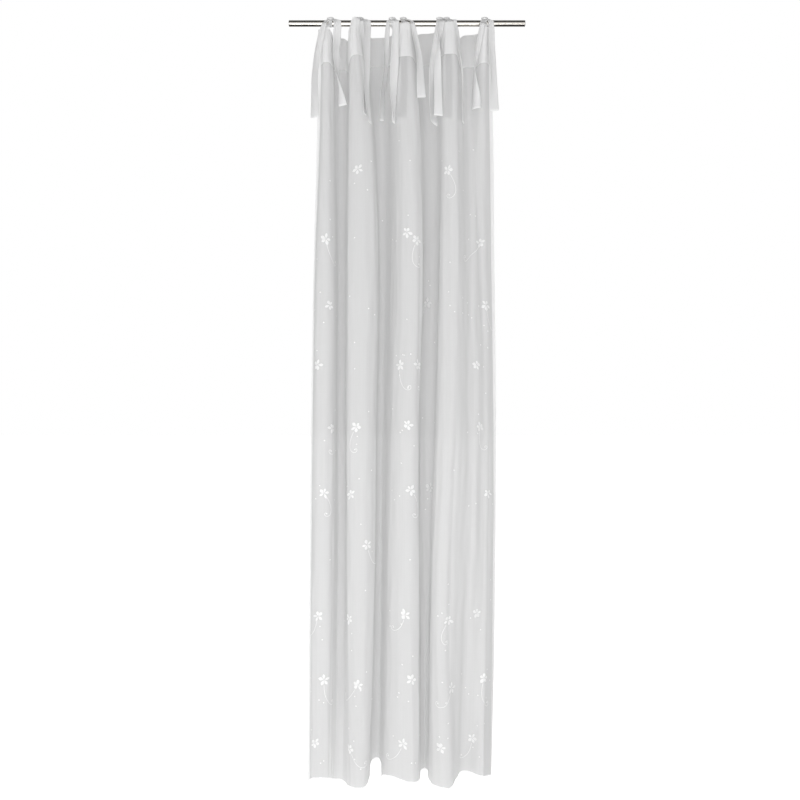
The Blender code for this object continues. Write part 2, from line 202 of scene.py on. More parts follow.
def edges(s):
    # drops of the top edge, of the foot of the heading and of the hem: half cosines between
    # stations, the top eased again and sagging as sine cubed, and below the rod where it
    # passes under it
    s = np.asarray(s, float)
    flank = np.clip(s.astype(int), 0, flankCount - 1)
    t = s - flank
    top, sag, foot, hem = (np.array(folds[name], float) for name in ("topDrop", "sag", "bandDrop", "hemDrop"))
    ease = (1 - np.cos(np.pi * t)) / 2
    flatter = ease * ease * (3 - 2 * ease)
    topDrop = top[flank] * (1 - flatter) + top[flank + 1] * flatter + sag[flank] * np.sin(np.pi * t) ** 3
    clear = folds["rodRadius"] + folds["clearOfRod"]
    depth = section(s, np.full(s.shape, folds["levels"][0]))[1]
    below = np.sqrt(np.maximum(clear**2 - depth**2, 0)) + folds["underRod"]
    soft = np.clip((clear + folds["easeUnder"] - np.abs(depth)) / folds["easeUnder"], 0, 1)
    topDrop = np.where(soft > 0, np.maximum(topDrop, topDrop + (below - topDrop) * soft), topDrop)
    footDrop, hemDrop = (line[flank] * (1 - ease) + line[flank + 1] * ease for line in (foot, hem))
    footDrop = footDrop + folds["footSag"] * sag[flank] * np.sin(np.pi * t) ** 3
    for place, halfWidth, tall in folds["hemPoints"]:
        hemDrop = hemDrop + tall * np.exp(-(((s - place) / halfWidth) ** 2))
    return topDrop, footDrop, hemDrop


# flat place across the cloth, in mm from its left edge, for each place s along the section
sLine = np.linspace(0, flankCount, 4001)
lineX, lineY = section(sLine, np.full(sLine.shape, 1250.0))
uLine = np.concatenate([[0], np.cumsum(np.hypot(np.diff(lineX), np.diff(lineY)))])
uLine = uLine * cloth["width"] / uLine[-1]

# creases: flat place at their top and bottom, from and to what v, half width, height
# towards the viewer; v is the distance down the cloth from its top edge
creases = (
    (7.20, 7.24, 1260, 2130, 9, -4.2),
    (7.40, 7.46, 1200, 2160, 18, 1.6),
    (0.72, 0.66, 250, 1500, 10, 2.0),
    (1.30, 1.34, 500, 2300, 16, -1.2),
    (2.62, 2.56, 300, 1250, 12, 2.4),
    (2.90, 3.02, 900, 2300, 13, -2.6),
    (3.24, 3.20, 200, 900, 10, 2.2),
    (3.40, 3.30, 1300, 2420, 14, 2.6),
    (4.46, 4.52, 260, 1700, 15, -1.2),
    (4.82, 4.76, 150, 1100, 12, 1.4),
    (5.16, 5.22, 400, 1300, 9, -3.0),
    (5.30, 5.20, 1500, 2430, 12, 2.4),
    (6.50, 6.58, 300, 1900, 15, 2.4),
    (6.86, 6.92, 700, 1500, 10, -2.4),
    (7.16, 7.14, 140, 1100, 7, 1.8),
    (7.62, 7.70, 330, 1150, 18, -1.2),
    (7.72, 7.62, 1600, 2440, 13, 3.0),
    (8.30, 8.36, 900, 1800, 16, -1.0),
    (8.76, 8.70, 200, 1400, 14, 1.2),
    (9.40, 9.44, 600, 2400, 8, 1.6),
)
# gathers under each tie: where it is sewn on, then how many small pleats fan out from there
gathers = {
    "sewn": (1.04, 3.0, 4.47, 5.0, 6.49, 6.94, 9.0),
    "fan": (-2.4, -1.2, 0.0, 1.15, 2.3),
    "pitch": 9,
    "spread": 0.16,
    "halfWidth": 3.2,
    "widen": 0.05,
    "height": 1.7,
    "fade": 120,
}
# small waves over the whole cloth: how many, their height, and how long they are each way
ripples = {"count": 26, "height": 0.30, "across": (26, 130), "down": (260, 1500), "seed": 11}


def relief(s, v):
    # height over the smooth folds: creases and gathers as bell curves across, ripples as a sum
    # of seeded sines, faded at the side edges so that the hems lie flat
    s, v = np.broadcast_arrays(np.asarray(s, float), np.asarray(v, float))
    u = np.interp(s, sLine, uLine)
    height = np.zeros(s.shape)
    for sTop, sFoot, vFrom, vTo, halfWidth, tall in creases:
        along = np.clip((v - vFrom) / (vTo - vFrom), 0, 1)
        centre = np.interp(sTop + (sFoot - sTop) * along, sLine, uLine)
        height += tall * np.exp(-(((u - centre) / halfWidth) ** 2)) * np.sin(np.pi * along) ** 0.6
    for place in gathers["sewn"]:
        centre = np.interp(place, sLine, uLine)
        for step in gathers["fan"]:
            line = centre + step * (gathers["pitch"] + gathers["spread"] * v)
            wide = gathers["halfWidth"] + gathers["widen"] * v
            fade = np.exp(-v / gathers["fade"])
            height += gathers["height"] * fade * np.exp(-(((u - line) / wide) ** 2))
    rng = np.random.default_rng(ripples["seed"])
    for _ in range(ripples["count"]):
        acrossLength, downLength = rng.uniform(*ripples["across"]), rng.uniform(*ripples["down"])
        phase = rng.uniform(0, 2 * np.pi, 2)
        wave = np.sin(2 * np.pi * u / acrossLength + phase[0] + 1.6 * np.sin(v / downLength * 5))
        height += ripples["height"] * wave * np.sin(2 * np.pi * v / downLength + phase[1])
    flat = np.clip(np.minimum(u, cloth["width"] - u) / cloth["flatEdge"], 0, 1)
    return height * flat


def smoothFolds(s, v):
    # v to drop in two even parts: top edge to foot of the heading, and from there to the hem
    top, foot, hem = edges(s)
    heading = cloth["heading"]
    share = (v - heading) / (cloth["length"] - heading)
    drop = np.where(v < heading, top + (foot - top) * v / heading, foot + (hem - foot) * share)
    x, y = section(s, drop)
    return np.stack([x, y, -drop], axis=-1)


def onCloth(s, v, lift=0.0):
    # point on the cloth: smooth folds plus relief and lift along the normal, in metres
    s, v = np.broadcast_arrays(np.asarray(s, float), np.asarray(v, float))
    s = np.clip(s, 0, flankCount)
    step = np.where(s < flankCount - 0.01, 0.01, -0.01)
    here = smoothFolds(s, v)
    across = (smoothFolds(s + step, v) - here) / step[..., None]
    down = smoothFolds(s, v + 4.0) - here
    normal = np.cross(down, across)
    normal /= np.linalg.norm(normal, axis=-1, keepdims=True)
    return (here + normal * (relief(s, v) + lift)[..., None]) * mm


def gridFaces(rows, columns, first=0):
    # quads of a grid, row by row, its corners counted from first
    r, c = np.meshgrid(np.arange(rows - 1), np.arange(columns - 1), indexing="ij")
    quads = np.stack([r * columns + c, (r + 1) * columns + c, (r + 1) * columns + c + 1,
                      r * columns + c + 1], axis=-1)
    return quads.reshape(-1, 4) + first


def joinGrids(grids, size, flip=False):
    # many grids as one: points times size, faces counted on from grid to grid, flat places
    points, quads, flats, first = [], [], [], 0
    for gridPoints, flat in grids:
        rows, columns = gridPoints.shape[:2]
        faces = gridFaces(rows, columns, first)
        points.append(gridPoints.reshape(-1, 3) * size)
        quads.append(faces[:, ::-1] if flip else faces)
        flats.append(np.asarray(flat).reshape(-1, 2) * mm)
        first += rows * columns
    return np.concatenate(points), np.concatenate(quads), np.concatenate(flats)


def meshPiece(name, points, quads, uv, material):
    # one mesh from whole arrays: points, four corners a face, and a flat place for each point
    mesh = bpy.data.meshes.new(name)
    mesh.vertices.add(len(points))
    mesh.vertices.foreach_set("co", np.asarray(points, np.float32).ravel())
    mesh.loops.add(quads.size)
    mesh.loops.foreach_set("vertex_index", quads.astype(np.int32).ravel())
    mesh.polygons.add(len(quads))
    mesh.polygons.foreach_set("loop_start", np.arange(0, quads.size, 4, dtype=np.int32))
    mesh.polygons.foreach_set("use_smooth", np.full(len(quads), True))
    mesh.update(calc_edges=True)
    layer = mesh.uv_layers.new(name="flatPlace")
    layer.data.foreach_set("uv", np.asarray(uv, np.float32)[quads.ravel()].ravel())
    mesh.materials.append(material)
    piece = bpy.data.objects.new(name, mesh)
    scene.collection.objects.link(piece)
    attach(piece, "root")
    return piece


# materials of the cloth

# Cotton voile, plain woven from fine hard-twisted threads and bleached: a dull even white
# that lets light and the shade of what lies behind it through. Doubled in hems and heading.
voileLook = {
    "single": "#E4E4E4",
    "doubled": "#FEFEFE",
    "singleCover": 0.86,
    "doubledCover": 0.96,
    "singleThrough": 0.30,
    "doubledThrough": 0.16,
    "threadSpacing": 1.2,  # real threads lie 0.35 mm apart, drawn coarser so that they show
    "warpSlub": 0.014,
    "weftSlub": 0.006,
    "roughness": 0.85,
    "specular": 0.25,
    "sheen": 0.12,
    "weaveBump": 0.02,
}


def band(tree, coordinate, low, high):
    # 1 between low and high, 0 outside
    over = mathNode(tree, "GREATER_THAN", coordinate, low)
    return mathNode(tree, "MULTIPLY", over, mathNode(tree, "LESS_THAN", coordinate, high))


def voileMaterial(name, look, bands):
    # bands: (axis, low, high) in metres where the cloth lies double, such as a hem
    made, tree = newMaterial(name)
    place = addNode(tree, "ShaderNodeUVMap", {"uv_map": "flatPlace"}).outputs[0]
    parts = addNode(tree, "ShaderNodeSeparateXYZ", i0=place)
    period = look["threadSpacing"] * mm
    waves = [
        addNode(tree, "ShaderNodeTexWave", {"bands_direction": axis}, Vector=place,
                Scale=2 * math.pi / (20 * period), Distortion=0.4, Detail=1.0).outputs["Fac"]
        for axis in ("X", "Y")
    ]
    weave = mathNode(tree, "MULTIPLY", *waves)
    slub = 0.0
    for stretch, share in (((260.0, 3.0, 1.0), look["warpSlub"]), ((8.0, 300.0, 1.0), look["weftSlub"])):
        moved = addNode(tree, "ShaderNodeMapping", Vector=place, Scale=stretch).outputs[0]
        noise = addNode(tree, "ShaderNodeTexNoise", Vector=moved, Scale=1.0, Detail=2.0).outputs["Fac"]
        slub = mathNode(tree, "MULTIPLY_ADD", mathNode(tree, "SUBTRACT", noise, 0.5), 2 * share, slub)
    double = None
    for axis, low, high in bands:
        here = band(tree, parts.outputs[axis], low, high)
        double = here if double is None else mathNode(tree, "MAXIMUM", double, here)
    tint = addNode(tree, "ShaderNodeMix", {"data_type": "RGBA"})
    tree.links.new(double, tint.inputs[0])
    tint.inputs[6].default_value = linear(look["single"])
    tint.inputs[7].default_value = linear(look["doubled"])
    shade = mathNode(tree, "ADD", slub, 1.0)
    colour = addNode(tree, "ShaderNodeVectorMath", {"operation": "SCALE"}, i0=tint.outputs[2])
    tree.links.new(shade, colour.inputs["Scale"])
    gain = look["doubledCover"] - look["singleCover"]
    cover = mathNode(tree, "MULTIPLY_ADD", double, gain, look["singleCover"])
    cover = mathNode(tree, "ADD", slub, cover)
    bump = addNode(tree, "ShaderNodeBump", Height=weave, Strength=look["weaveBump"],
                   Distance=0.0002).outputs[0]
    front = addNode(tree, "ShaderNodeBsdfPrincipled", Base_Color=colour.outputs[0],
                    Roughness=look["roughness"], Normal=bump)
    front.inputs["Specular IOR Level"].default_value = look["specular"]
    front.inputs["Sheen Weight"].default_value = look["sheen"]
    through = addNode(tree, "ShaderNodeBsdfTranslucent", Color=colour.outputs[0], Normal=bump)
    fall = look["doubledThrough"] - look["singleThrough"]
    share = mathNode(tree, "MULTIPLY_ADD", double, fall, look["singleThrough"])
    body = addNode(tree, "ShaderNodeMixShader", i0=share, i1=front.outputs[0], i2=through.outputs[0])
    clear = addNode(tree, "ShaderNodeBsdfTransparent")
    mixed = addNode(tree, "ShaderNodeMixShader", i0=cover, i1=clear.outputs[0], i2=body.outputs[0])
    addNode(tree, "ShaderNodeOutputMaterial", i0=mixed.outputs[0])
    return made


edgeWidth = cloth["width"] * mm
panelVoile = voileMaterial("white cotton voile, woven", voileLook, (
    ("X", -1.0, cloth["sideHem"] * mm),
    ("X", edgeWidth - cloth["sideHem"] * mm, 9.0),
    ("Y", -1.0, cloth["heading"] * mm),
    ("Y", (cloth["length"] - cloth["bottomHem"]) * mm, 9.0),
))
facingVoile = voileMaterial("white cotton voile facing, woven", voileLook, (("Y", 0.098, 9.0),))
tieVoile = voileMaterial("white cotton voile strip, doubled", {
    **voileLook, "single": "#F9F9F9", "doubled": "#FDFDFD", "singleCover": 0.94, "doubledCover": 0.97,
    "singleThrough": 0.12, "doubledThrough": 0.06,
}, (("Y", 0.994, 9.0),))
print("materials of the cloth made")


# the panel and the facing behind its heading

panelGrid = {"columns": 320, "headingRows": 26, "bodyRows": 272}


def clothGrid(columns, vs, lift):
    # columns evenly spaced across the flat cloth, one row for each v
    s = np.interp(np.linspace(0, cloth["width"], columns + 1), uLine, sLine)
    s, v = np.meshgrid(s, vs)
    uv = np.stack([np.interp(s, sLine, uLine), v], axis=-1) * mm
    return onCloth(s, v, lift).reshape(-1, 3), uv.reshape(-1, 2)


headingV = np.linspace(0, cloth["heading"], panelGrid["headingRows"] + 1)
bodyV = np.linspace(cloth["heading"], cloth["length"], panelGrid["bodyRows"] + 1)
panelV = np.concatenate([headingV, bodyV[1:]])
points, uv = clothGrid(panelGrid["columns"], panelV, 0.0)
quads = gridFaces(len(panelV), panelGrid["columns"] + 1)
panel = meshPiece("voile_cloth", points, quads, uv, panelVoile)
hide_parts("voile_panel")

points, uv = clothGrid(panelGrid["columns"], headingV, cloth["facingLift"])
quads = gridFaces(len(headingV), panelGrid["columns"] + 1)
facing = meshPiece("heading_cloth", points, quads, uv, facingVoile)
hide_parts("heading_facing")
print("panel and heading made")


# ties: a strip round the rod, knotted above it, its two ends hanging in front

tieSizes = {
    "width": 28, "ringWidth": 12, "rootWidth": 9, "rootFoot": 20, "gap": 0.3, "thickness": 1.5,
    "knot": (11.0, 8.4, 4.4), "knotPlace": (-1.0, 15.2), "start": 78, "neck": 0.85,
    "across": 12, "down": 64, "sewnThickness": 0.8,
    "clearAcross": 1.2, "clearDeep": 2.7,  # kept from the folds beside and behind a tail
    "pleat": 1.3, "pleatFade": 55, "pleatFrom": 12, "cutOver": 45,
    "rootLean": 30, "rootReach": 4, "rootAbove": 0.6,
}
tieRows = (
    # name, x of the knot, place s where it is sewn on
    ("tie_1", -248, 1.04),
    ("tie_2", -152, 3.00),
    ("tie_3", -48, 4.47),
    ("tie_4", -12, 5.00),
    ("tie_5", 106, 6.49),
    ("tie_6", 128, 6.94),
    ("tie_7", 252, 9.00),
)
tailRows = (
    # tie, side, x and width on the rod, x and drop half way, x and drop of the end, turn half
    # way and at the end in degrees, curl of the strip, slant of its end in mm
    ("tie_1", -1, -263, 13, -290, 110, -299, 314, 50, 30, 0.16, -5),
    ("tie_1", -1, -225, 25, -225, 185, -207, 272, 86, 165, 0.10, 3),
    ("tie_2", -1, -129, 26, -131, 190, -122, 336, 50, 68, 0.14, 8),
    ("tie_2", -1, -146, 12, -139, 150, -136, 312, 80, 74, 0.10, 4),
    ("tie_3", -1, -61, 12, -75, 170, -87, 317, 62, 60, 0.22, -3),
    ("tie_3", -1, -36, 20, -42, 160, -48, 322, 16, 78, 0.20, 12),
    ("tie_4", -1, 17, 12, 36, 120, 46, 253, 45, 12, 0.16, -4),
    ("tie_4", 1, -12, 18, -10, 160, -14, 300, 40, 15, 0.10, 3),
    ("tie_5", -1, 101, 12, 81, 150, 85, 322, 34, 40, 0.16, 14),
    ("tie_5", -1, 113, 18, 102, 62, 100, 309, 84, 168, 0.14, -4),
    ("tie_6", -1, 154, 10, 172, 150, 177, 334, 84, 74, 0.12, 5),
    ("tie_6", 1, 128, 16, 136, 160, 132, 300, 35, 20, 0.10, 3),
    ("tie_7", -1, 244, 14, 217, 150, 223, 280, 80, 176, 0.20, 6),
    ("tie_7", -1, 272, 18, 274, 120, 283, 288, 40, 14, 0.14, -3),
)


def frontOfCloth(xLow, xHigh, drop):
    # smallest depth of the cloth between two places across, at a drop, or None beside it
    x, y = section(sLine[::10], np.full(401, float(drop)))
    here = (x > xLow) & (x < xHigh) & (drop > edges(sLine[::10])[0] - 4)
    return y[here].min() if here.any() else None


def strip(centres, across, widths, curl, pleats):
    # a ribbon on a grid: its own width along "across", the edges raised by curl*u^2 with a slow
    # swing down its length, and three small pleats where it is gathered
    centres, widths = np.asarray(centres, float), np.asarray(widths, float)
    along = np.gradient(centres, axis=0)
    length = np.concatenate([[0], np.cumsum(np.linalg.norm(np.diff(centres, axis=0), axis=1))])
    along /= np.linalg.norm(along, axis=1, keepdims=True)
    normal = np.cross(along, across)
    normal /= np.linalg.norm(normal, axis=1, keepdims=True)
    u = np.linspace(-1, 1, tieSizes["across"] + 1)
    swing = 0.7 + 0.5 * np.sin(length / 38 + widths[0])
    rise = np.outer(curl * widths * swing, u**2) + np.outer(pleats, np.cos(3 * np.pi * u))
    points = centres[:, None] + across[:, None] * (widths / 2)[:, None, None] * u[None, :, None]
    return points + normal[:, None] * rise[..., None], length, u


def tailPoints(row, knotX):
    # over the rod from the knot, then down; pushed out by any fold it would meet
    _, side, rodX, rodWidth, midX, midDrop, endX, endDrop, midTurn, endTurn, curl, slant = row
    size = tieSizes
    radius = folds["rodRadius"] + size["gap"] + size["thickness"]
    share = np.arange(5) / 5
    angle = np.radians(size["start"] + (180 - size["start"]) * share)
    ease = share * share * (3 - 2 * share)
    arc = np.stack([knotX + (rodX - knotX) * ease, -side * radius * np.cos(angle),
                    radius * np.sin(angle)], axis=1)
    drops = endDrop * (np.arange(11) / 10) ** 1.5
    knots = (0.0, midDrop, endDrop)
    x = smoothThrough(knots, (rodX, midX, endX), drops)
    turn = np.radians(smoothThrough(knots, (0.0, midTurn, endTurn), drops))
    width = rodWidth + (size["width"] - rodWidth) * np.minimum(drops / midDrop, 1)
    furthest, depth = radius, []
    for step, drop in enumerate(drops):
        halfAcross = width[step] / 2 * abs(math.cos(turn[step])) + size["clearAcross"]
        halfDeep = width[step] / 2 * abs(math.sin(turn[step])) + size["clearDeep"]
        if side < 0:
            before, after = drops[max(step - 1, 0)], drops[min(step + 1, 10)]
            for nearby in np.linspace(before, after, 7):
                front = frontOfCloth(x[step] - halfAcross, x[step] + halfAcross, nearby)
                furthest = furthest if front is None else max(furthest, halfDeep - front)
        if drop < 2 * folds["rodRadius"]:
            furthest = max(furthest, halfDeep + folds["rodRadius"])
        depth.append(side * furthest)
    fall = np.stack([x, np.array(depth), -drops], axis=1)
    coarse = np.concatenate([arc, fall])
    turns = np.concatenate([np.zeros(5), turn])
    widths = np.concatenate([rodWidth * (size["neck"] + (1 - size["neck"]) * ease), width])
    far = np.concatenate([[0], np.cumsum(np.linalg.norm(np.diff(coarse, axis=0), axis=1))])
    at = np.linspace(0, far[-1], size["down"])
    centres = np.stack([smoothThrough(far, coarse[:, k], at) for k in range(3)], axis=1)
    turns, widths = smoothThrough(far, turns, at), smoothThrough(far, widths, at)
    across = np.stack([np.cos(turns), np.sin(turns), np.zeros(len(at))], axis=1)
    pleats = size["pleat"] * np.exp(-at / size["pleatFade"]) * (at > size["pleatFrom"])
    points, length, u = strip(centres, across, widths, curl, pleats)
    ending = np.clip((length - length[-1] + size["cutOver"]) / size["cutOver"], 0, 1) ** 2
    points[..., 2] -= np.outer(ending, slant * (u + 1) / 2 if slant > 0 else slant * (u - 1) / 2)
    flatU = np.broadcast_to(u * size["width"] / 2, points.shape[:2])
    flatV = np.broadcast_to((1000 - length[-1] + length)[:, None], points.shape[:2])
    return points, np.stack([flatU, flatV], axis=-1)


def ringPoints(knotX):
    # the turn round the rod: a circle carried across, with fine pleats in its radius
    size = tieSizes
    angle = np.linspace(0, 2 * np.pi, 41)
    u = np.linspace(-1, 1, size["across"] + 1)
    radius = folds["rodRadius"] + size["gap"] + size["thickness"] / 2
    radius = radius + 0.45 + 0.4 * np.cos(3 * np.pi * u)[None, :] * np.ones((41, 1))
    x = knotX + np.broadcast_to(u * size["ringWidth"] / 2, radius.shape)
    points = np.stack([x, radius * np.cos(angle)[:, None], radius * np.sin(angle)[:, None]], axis=-1)
    flat = np.stack([x - knotX, np.broadcast_to((angle * 11)[:, None], radius.shape)], axis=-1)
    return points, flat


def knotPoints(knotX):
    # an ellipsoid with slanting wraps: radius 1 + 0.05*sin(2*longitude + 3*latitude)
    lat = np.linspace(-np.pi / 2, np.pi / 2, 19)[:, None]
    lon = np.linspace(0, 2 * np.pi, 33)[None, :]
    bulge = 1 + 0.05 * np.sin(2 * lon + 3 * lat) * np.cos(lat)
    half, (placeY, placeZ) = tieSizes["knot"], tieSizes["knotPlace"]
    points = np.stack([
        knotX + half[0] * bulge * np.cos(lat) * np.cos(lon),
        placeY + half[1] * bulge * np.cos(lat) * np.sin(lon),
        placeZ + half[2] * bulge * np.sin(lat) * np.ones_like(lon),
    ], axis=-1)
    flat = np.stack(np.broadcast_arrays(lon * 9, lat * 9), axis=-1)
    return points[::-1], flat[::-1]


def rootPoints(knotX, sewnAt):
    # from the ring to the heading's top edge, a cubic from leaning out to coming straight down
    size = tieSizes
    seam = onCloth(np.array([sewnAt]), np.array([0.0]), -0.9)[0] / mm
    beside = sewnAt + np.linspace(-0.06, 0.06, 9)
    top = onCloth(np.clip(beside, 0, flankCount), np.zeros(9))[:, 2].max() / mm
    end = np.array([seam[0], seam[1], top + size["rootAbove"]])
    side = 1.0 if end[1] > 0 else -1.0
    angle = math.atan2(end[2], end[1]) + side * math.radians(size["rootLean"])
    radius = folds["rodRadius"] + size["gap"] + size["thickness"] / 2
    start = np.array([knotX, radius * math.cos(angle), radius * math.sin(angle)])
    out = start + np.array([0, math.cos(angle), math.sin(angle)]) * size["rootReach"]
    above = end + np.array([0, 0, size["rootReach"]])
    t = np.linspace(0, 1, 18)[:, None]
    centres = (1 - t) ** 3 * start + 3 * t * (1 - t) ** 2 * out + 3 * t * t * (1 - t) * above + t**3 * end
    edge = onCloth(np.array([sewnAt - 0.03, sewnAt + 0.03]), np.zeros(2))
    edge = (edge[1] - edge[0]) * (1, 1, 0)
    edge /= np.linalg.norm(edge)
    across = (1 - t) * np.array([1.0, 0, 0]) + t * edge
    across /= np.linalg.norm(across, axis=1, keepdims=True)
    widths = size["rootWidth"] + (size["rootFoot"] - size["rootWidth"]) * t[:, 0] ** 1.5
    points, length, u = strip(centres, across, widths, 0.0, np.full(18, 0.5))
    flat = np.stack(np.broadcast_arrays(u[None, :] * 9, length[:, None]), axis=-1)
    return points, flat


for name, knotX, sewnAt in tieRows:
    grids = [ringPoints(knotX), knotPoints(knotX), rootPoints(knotX, sewnAt)]
    grids += [tailPoints(row, knotX) for row in tailRows if row[0] == name]
    tie = meshPiece(name + "_strip", *joinGrids(grids, mm), tieVoile)
    thick = tie.modifiers.new("thickness", "SOLIDIFY")
    thick.thickness = tieSizes["sewnThickness"] * mm
    thick.offset = 0.0
    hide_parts(name)
print("ties made")


# embroidery: flowers, curling stems and dots in white thread, standing 0.5 mm proud

embroidery = {
    "petals": 5, "petalFrom": 1.5, "petalTo": 18.5, "petalWidth": 5.0, "lift": 0.45, "height": 0.5,
    "stemWidth": 1.5, "stemFrom": 14, "stemHeight": 0.35, "dotRadius": 2.5, "dotHeight": 0.7,
    "rowSpacing": 206.0, "firstRow": 465, "hiddenSpacing": 150, "seed": 4,
}
flowerRows = (
    # x and drop, in mm on the rod's plane, as the camera sees them
    (-159, 472), (133, 475), (-263, 699), (0, 677), (32, 703), (237, 712), (-250, 914), (65, 907),
    (256, 914), (-289, 1108), (-23, 1108), (36, 1108), (227, 1108), (-243, 1313), (-165, 1309),
    (3, 1303), (237, 1309), (-269, 1524), (-182, 1527), (13, 1514), (75, 1507), (263, 1524),
    (-130, 1692), (-289, 1923), (-188, 1932), (-6, 1919), (136, 1936), (227, 1913), (-269, 2130),
    (-159, 2147), (16, 2130), (146, 2156), (250, 2124), (-299, 2335), (-185, 2354), (-13, 2338),
    (110, 2351), (211, 2319),
)


dotRows = (
    # loose dots, placed the same way
    (-25, 380), (215, 410), (10, 445), (-150, 460), (-250, 510), (205, 620), (-80, 640), (-170, 695),
    (140, 775), (75, 850), (135, 870), (-185, 885), (180, 890), (140, 915), (-125, 925), (155, 935),
    (180, 940), (200, 945), (-105, 945), (210, 955), (0, 960), (-270, 970), (250, 980), (-170, 1035),
    (90, 1035), (-170, 1120), (255, 1200), (50, 1280), (90, 1295), (-15, 1320), (230, 1330),
    (-115, 1450), (155, 1450), (-200, 1480), (-40, 1545), (200, 1565), (-250, 1740), (10, 1740),
    (270, 1805), (135, 1820), (-135, 1840), (-275, 2000), (-180, 2035), (125, 2035), (-15, 2080),
    (190, 2155), (-150, 2165), (200, 2175), (230, 2180), (-30, 2185), (-285, 2195), (5, 2200),
    (-165, 2215), (235, 2380), (-280, 2400), (15, 2400), (-150, 2420),
)


def seenPlace(x, drop):
    # where the camera sees the cloth: the crossing of its line with the section that is nearest
    slope = np.array([x * mm - eye[0], -drop * mm - eye[2]]) / -eye[1]
    found, lineDrop = None, float(drop)
    for _ in range(3):
        lineX, lineY = section(sLine, np.full(sLine.shape, lineDrop))
        seen = (lineX * mm - eye[0]) / (lineY * mm - eye[1]) - slope[0]
        cross = np.nonzero(seen[:-1] * seen[1:] <= 0)[0]
        if not len(cross):
            return None
        found = cross[np.argmin(lineY[cross])]
        lineDrop = -(eye[2] + slope[1] * (lineY[found] * mm - eye[1])) / mm
    foot, hem = (line[0] for line in edges(sLine[found:found + 1])[1:])
    v = cloth["heading"] + (lineDrop - foot) * (cloth["length"] - cloth["heading"]) / (hem - foot)
    return float(np.interp(sLine[found], sLine, uLine)), float(v)


def flowerGrids(rng):
    # five petals, uneven in length and turn, each a small dome: half width
    # petalWidth*sin(pi t^1.35)^0.8, height as a half sine
    made, turn = [], rng.uniform(0, 2 * np.pi)
    t, w = np.meshgrid(np.linspace(0, 1, 7), np.linspace(-1, 1, 5), indexing="ij")
    for k in range(embroidery["petals"]):
        angle = turn + 2 * np.pi * (k + rng.uniform(-0.14, 0.14)) / embroidery["petals"]
        petalTo = embroidery["petalTo"] * rng.uniform(0.74, 1.08)
        reach = embroidery["petalFrom"] + (petalTo - embroidery["petalFrom"]) * t
        wide = embroidery["petalWidth"] * rng.uniform(0.7, 1.15)
        side = wide * np.sin(np.pi * np.clip(t, 0.02, 0.98) ** 1.35) ** 0.8 * w
        up = embroidery["lift"] + embroidery["height"] * (1 - w**2) * np.sin(np.pi * t)
        made.append((reach * np.cos(angle) - side * np.sin(angle),
                     reach * np.sin(angle) + side * np.cos(angle), up))
    return made


def stemGrids(turn, size, hand):
    # a line that winds up into a spiral with a dot: it turns by 1.0*t + 5.6*t^3 while its steps
    # shorten
    t = np.linspace(0, 1, 46)
    heading = turn + hand * (1.0 * t + 5.6 * t**3)
    step = size * (1.12 - 0.8 * t) / 32
    x = np.cumsum(np.cos(heading) * step) + embroidery["stemFrom"] * math.cos(turn)
    y = np.cumsum(np.sin(heading) * step) + embroidery["stemFrom"] * math.sin(turn)
    w = np.linspace(-1, 1, 3)[None, :]
    half = embroidery["stemWidth"] / 2
    grid = (x[:, None] - half * w * np.sin(heading)[:, None],
            y[:, None] + half * w * np.cos(heading)[:, None],
            embroidery["lift"] + embroidery["stemHeight"] * (1 - w**2) * np.ones((len(t), 1)))
    return [grid, dotGrid(x[-1], y[-1])]


def dotGrid(x, y):
    # a dome of rings: height falls as 1 - radius squared
    r, a = np.meshgrid(np.linspace(0.02, 1, 4), np.linspace(0, 2 * np.pi, 11), indexing="ij")
    radius = embroidery["dotRadius"] * r
    up = embroidery["lift"] + embroidery["dotHeight"] * (1 - r**2)
    return x + radius * np.cos(a), y - radius * np.sin(a), up


def laidOn(u, v, grids):
    # flat offsets to places on the cloth: true lengths along the section at that height
    foot, hem = (line[0] for line in edges(np.interp([u], uLine, sLine))[1:])
    drop = foot + (v - cloth["heading"]) * (hem - foot) / (cloth["length"] - cloth["heading"])
    x, y = section(sLine, np.full(sLine.shape, drop))
    run = np.concatenate([[0], np.cumsum(np.hypot(np.diff(x), np.diff(y)))])
    here = np.interp(np.interp(u, uLine, sLine), sLine, run)
    for du, dv, up in grids:
        du, dv, up = np.broadcast_arrays(du, dv, up)
        s = np.interp(here + du, run, sLine)
        yield onCloth(s, v + dv, up), np.stack([du, dv], axis=-1)


rng = np.random.default_rng(embroidery["seed"])
spots = [place for place in (seenPlace(*row) for row in flowerRows) if place]
seenCount = len(spots)
for row in range(10):
    # flowers in the flanks that the camera can't see, on the same rows, 150 mm apart
    for u in np.arange(70 + 75 * (row % 2), cloth["width"] - 40, embroidery["hiddenSpacing"]):
        v = embroidery["firstRow"] + embroidery["rowSpacing"] * row + rng.uniform(-14, 14)
        near = [abs(u - a) for a, b in spots[:seenCount] if abs(b - v) < 70]
        place = onCloth(np.interp([u], uLine, sLine), np.array([v]))[0]
        seen = seenPlace((eye[0] - (place[0] - eye[0]) / (place[1] - eye[1]) * eye[1]) / mm,
                         -(eye[2] - (place[2] - eye[2]) / (place[1] - eye[1]) * eye[1]) / mm)
        if min(near, default=999) > 80 and seen and abs(seen[0] - u) > 60:
            spots.append((float(u), float(v)))
stitched = []
for index, (u, v) in enumerate(spots):
    grids = flowerGrids(rng)
    down = rng.uniform(0.9, 2.2)
    if index % 3:
        grids += stemGrids(down, rng.uniform(88, 118), 1 if index % 2 else -1)
    for _ in range(3):
        far, way = rng.uniform(28, 88), rng.uniform(0, 2 * np.pi)
        grids.append(dotGrid(far * math.cos(way), far * math.sin(way)))
    stitched += list(laidOn(u, v, grids))
for place in (seenPlace(*row) for row in dotRows):
    if place:
        stitched += list(laidOn(*place, [dotGrid(0.0, 0.0)]))
